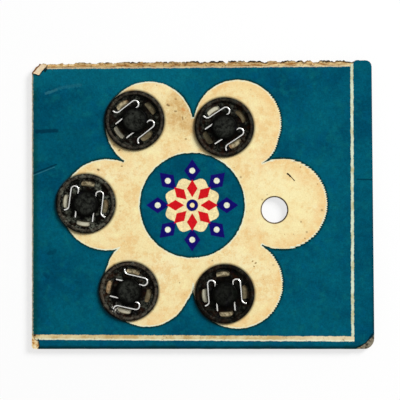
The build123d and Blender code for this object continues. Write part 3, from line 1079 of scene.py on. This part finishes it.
def spring_mesh(snap, side):
    """Return a spring's mesh: a round wire bent from its leg through the hairpin and run to its foot."""
    wire = snap.wire_diameter / 2
    neck_gap, dome_gap, leg_reach, run_share, cap_round = 0.02, 0.07, 1.85, 0.457, 0.08
    leg_line = snap.neck_radius + neck_gap + wire
    run_line = leg_line + (snap.radius - snap.rim_width - leg_line) * run_share
    bend = (run_line - leg_line) / 2
    bend_start = sqrt((snap.dome_radius + dome_gap) ** 2 - (leg_line - wire) ** 2)
    leg_end = sqrt(snap.dome_radius**2 - leg_line**2) + leg_reach
    foot_start = -1.42
    foot_bend = 0.95
    foot_turn = radians(75)
    tail = 0.3
    height = snap.sheet + wire
    bm = bmesh.new()
    facing = Matrix.Translation((-leg_end, leg_line, height)) @ Matrix.Rotation(pi / 2, 4, "Y")
    bmesh.ops.create_circle(bm, cap_ends=False, segments=12, radius=wire, matrix=facing)
    end = bm.verts[:] + bm.edges[:]

    def run_on(vector):
        edges = [e for e in end if isinstance(e, bmesh.types.BMEdge)]
        end[:] = bmesh.ops.extrude_edge_only(bm, edges=edges)["geom"]
        end[:] = [item for item in end if not isinstance(item, bmesh.types.BMFace)]
        bmesh.ops.translate(bm, verts=[v for v in end if isinstance(v, bmesh.types.BMVert)], vec=vector)

    def bend_round(middle, angle, steps):
        spun = bmesh.ops.spin(bm, geom=end, cent=middle, axis=(0, 0, 1), angle=angle, steps=steps)
        end[:] = [item for item in spun["geom_last"] if not isinstance(item, bmesh.types.BMFace)]

    run_on((leg_end + bend_start, 0, 0))
    bend_round((bend_start, leg_line + bend, height), pi, 20)
    run_on((foot_start - bend_start, 0, 0))
    bend_round((foot_start, run_line + foot_bend, height), -foot_turn, 14)
    run_on((-tail * cos(foot_turn), tail * sin(foot_turn), 0))
    caps = bmesh.ops.holes_fill(bm, edges=bm.edges, sides=0)["faces"]
    bmesh.ops.recalc_face_normals(bm, faces=bm.faces)
    rounded(bm, list({e for f in caps for e in f.edges}), cap_round, 2, "EDGES")
    if side < 0:
        bmesh.ops.scale(bm, vec=(1, -1, 1), verts=bm.verts)
        bmesh.ops.recalc_face_normals(bm, faces=bm.faces)
    for face in bm.faces:
        face.smooth = True
    return bm


def seat(name, kind):
    """Return where a snap's socket or stud sits, turned as the snap is."""
    low, high = (corner * 1000 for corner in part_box(f"{name}_{kind}"))
    height = CARD_HIGH.z if kind == "socket" else CARD_LOW.z
    middle = ((low.x + high.x) / 2, (low.y + high.y) / 2, height)
    return Matrix.Translation(middle) @ Matrix.Rotation(radians(SNAP_TURNS[name]), 4, "Z")


def build_stamped(context, kind, shape):
    """Build every snap's socket or stud."""
    snap = context.scene.snapcard_snap
    enamel = bpy.data.materials.get("enamelled_sheet") or enamelled_sheet(snap)
    for name in SNAP_TURNS:
        bm = shape(snap, WEAR_SHARES[name])
        finish_piece(bm, f"{name}_enamel_{kind}", [enamel], f"{name}_{kind}", seat(name, kind))
    return {"FINISHED"}


def seen_directly(pen):
    """Return 1 for what the camera sees, also mirrored or through glass, and 0 for other light."""
    seen = pen.node("LightPath")
    return pen.plus(pen.plus(seen["Is Camera Ray"], seen["Is Glossy Ray"]), seen["Is Transmission Ray"])


class SNAPCARD_OT_card(bpy.types.Operator):
    """Build the torn board and the printed paper on it"""

    bl_idname = "snapcard.card"
    bl_label = "Card"

    def execute(self, context):
        card = context.scene.snapcard_card
        bm = board_mesh(card)
        paper = bpy.data.meshes.new("paper")
        sheet = face_paper_mesh(card)
        sheet.to_mesh(paper)
        sheet.free()
        bm.from_mesh(paper)
        bpy.data.meshes.remove(paper)
        for face in bm.faces:
            middle = face.calc_center_median().z
            if face.normal.z > 0.9 and middle > CARD_HIGH.z - 0.01:
                face.material_index = 1
            elif face.normal.z < -0.9 and middle < CARD_LOW.z + 0.01:
                face.material_index = 2
        snaps = [seat(name, "socket").translation.xy for name in SNAP_TURNS]
        materials = [board_core(card), printed_face(card, context.scene.snapcard_snap, snaps), board_back(card)]
        finish_piece(bm, "printed_card", materials, "card")
        return {"FINISHED"}


class SNAPCARD_OT_sockets(bpy.types.Operator):
    """Build the sprung sockets on the card's face"""

    bl_idname = "snapcard.sockets"
    bl_label = "Sockets"

    def execute(self, context):
        return build_stamped(context, "socket", socket_mesh)


class SNAPCARD_OT_studs(bpy.types.Operator):
    """Build the ball studs on the card's back"""

    bl_idname = "snapcard.studs"
    bl_label = "Studs"

    def execute(self, context):
        return build_stamped(context, "stud", stud_mesh)


class SNAPCARD_OT_springs(bpy.types.Operator):
    """Build the bent spring wires that lie in the sockets"""

    bl_idname = "snapcard.springs"
    bl_label = "Springs"

    def execute(self, context):
        snap = context.scene.snapcard_snap
        wire = bright_wire(snap)
        for name in SNAP_TURNS:
            for letter, side in (("a", 1), ("b", -1)):
                slide = SPRING_SLIDES.get(name, 0.0) if letter == "a" else 0.0
                place = seat(name, "socket") @ Matrix.Translation((slide, 0, 0))
                bm = spring_mesh(snap, side)
                finish_piece(bm, f"{name}_wire_{letter}", [wire], f"{name}_spring_{letter}", place)
        return {"FINISHED"}


class SNAPCARD_OT_stage(bpy.types.Operator):
    """Set up the floor, the light and the camera over the card"""

    bl_idname = "snapcard.stage"
    bl_label = "Stage"

    def execute(self, context):
        stage = context.scene.snapcard_stage
        scene = context.scene
        scene.view_settings.view_transform = "Standard"

        bm = bmesh.new()
        bmesh.ops.create_grid(bm, x_segments=1, y_segments=1, size=FLOOR_HALF)
        mesh = bpy.data.meshes.new("floor")
        bm.to_mesh(mesh)
        bm.free()
        floor = bpy.data.objects.new("floor", mesh)
        scene.collection.objects.link(floor)
        material, pen, shader = new_material("pale_floor", Roughness=0.9, Specular_IOR_Level=0.0)
        shader.inputs["Base Color"].default_value = (*stage.floor, 1.0)
        white = pen.node("Emission", {"Color": (1, 1, 1, 1), "Strength": 1.0})
        share = pen.times(seen_directly(pen), FLOOR_GLOW)
        mixed = pen.node("MixShader", {0: share, 1: shader.outputs[0], 2: white[0]})
        pen.link(mixed[0], pen.tree.nodes["Material Output"].inputs["Surface"])
        mesh.materials.append(material)

        world = bpy.data.worlds.new("plain_studio")
        world.use_nodes = True
        scene.world = world
        pen = Pen(world.node_tree)
        background = world.node_tree.nodes["Background"]
        pen.link(pen.step(seen_directly(pen), 0.0, 1.0, stage.ambient, 1.0), background.inputs["Strength"])
        background.inputs["Color"].default_value = (1.0, 1.0, 1.0, 1.0)

        lamp = bpy.data.lights.new("key", "AREA")
        lamp.energy = stage.key_power
        lamp.size = KEY_SIZE
        key = bpy.data.objects.new("key", lamp)
        key.location = KEY_PLACE
        key.rotation_euler = (Vector((0, 0, 0)) - key.location).to_track_quat("-Z", "Y").to_euler()
        scene.collection.objects.link(key)

        lens = bpy.data.cameras.new("camera")
        lens.sensor_width = SENSOR_WIDTH
        lens.lens = SENSOR_WIDTH * stage.camera_height / stage.view_width
        lens.clip_start = 0.01
        camera = bpy.data.objects.new("camera", lens)
        camera.location = (*CAMERA_PLACE, CARD_HIGH.z * METRES + stage.camera_height * METRES)
        scene.collection.objects.link(camera)
        scene.camera = camera
        return {"FINISHED"}


class SNAPCARD_PT_panel(bpy.types.Panel):
    """List the pieces of the card and its snaps"""

    bl_idname = "SNAPCARD_PT_panel"
    bl_label = "Snap Card"
    bl_space_type = "VIEW_3D"
    bl_region_type = "UI"
    bl_category = "Snap Card"

    def draw(self, context):
        for operator in OPERATORS:
            self.layout.operator(operator.bl_idname)
        for settings in (context.scene.snapcard_card, context.scene.snapcard_snap, context.scene.snapcard_stage):
            box = self.layout.box()
            for name in settings.__annotations__:
                box.prop(settings, name)


OPERATORS = (
    SNAPCARD_OT_stage,
    SNAPCARD_OT_card,
    SNAPCARD_OT_sockets,
    SNAPCARD_OT_studs,
    SNAPCARD_OT_springs,
)
SETTINGS = {"snapcard_card": CardSettings, "snapcard_snap": SnapSettings, "snapcard_stage": StageSettings}


def register():
    for cls in (*SETTINGS.values(), *OPERATORS, SNAPCARD_PT_panel):
        bpy.utils.register_class(cls)
    for name, cls in SETTINGS.items():
        setattr(bpy.types.Scene, name, PointerProperty(type=cls))


def unregister():
    for name in SETTINGS:
        delattr(bpy.types.Scene, name)
    for cls in (SNAPCARD_PT_panel, *OPERATORS, *SETTINGS.values()):
        bpy.utils.unregister_class(cls)


def main():
    register()
    bpy.ops.snapcard.stage()
    bpy.ops.snapcard.card()
    bpy.ops.snapcard.sockets()
    bpy.ops.snapcard.studs()
    bpy.ops.snapcard.springs()


if __name__ == "__main__":
    main()
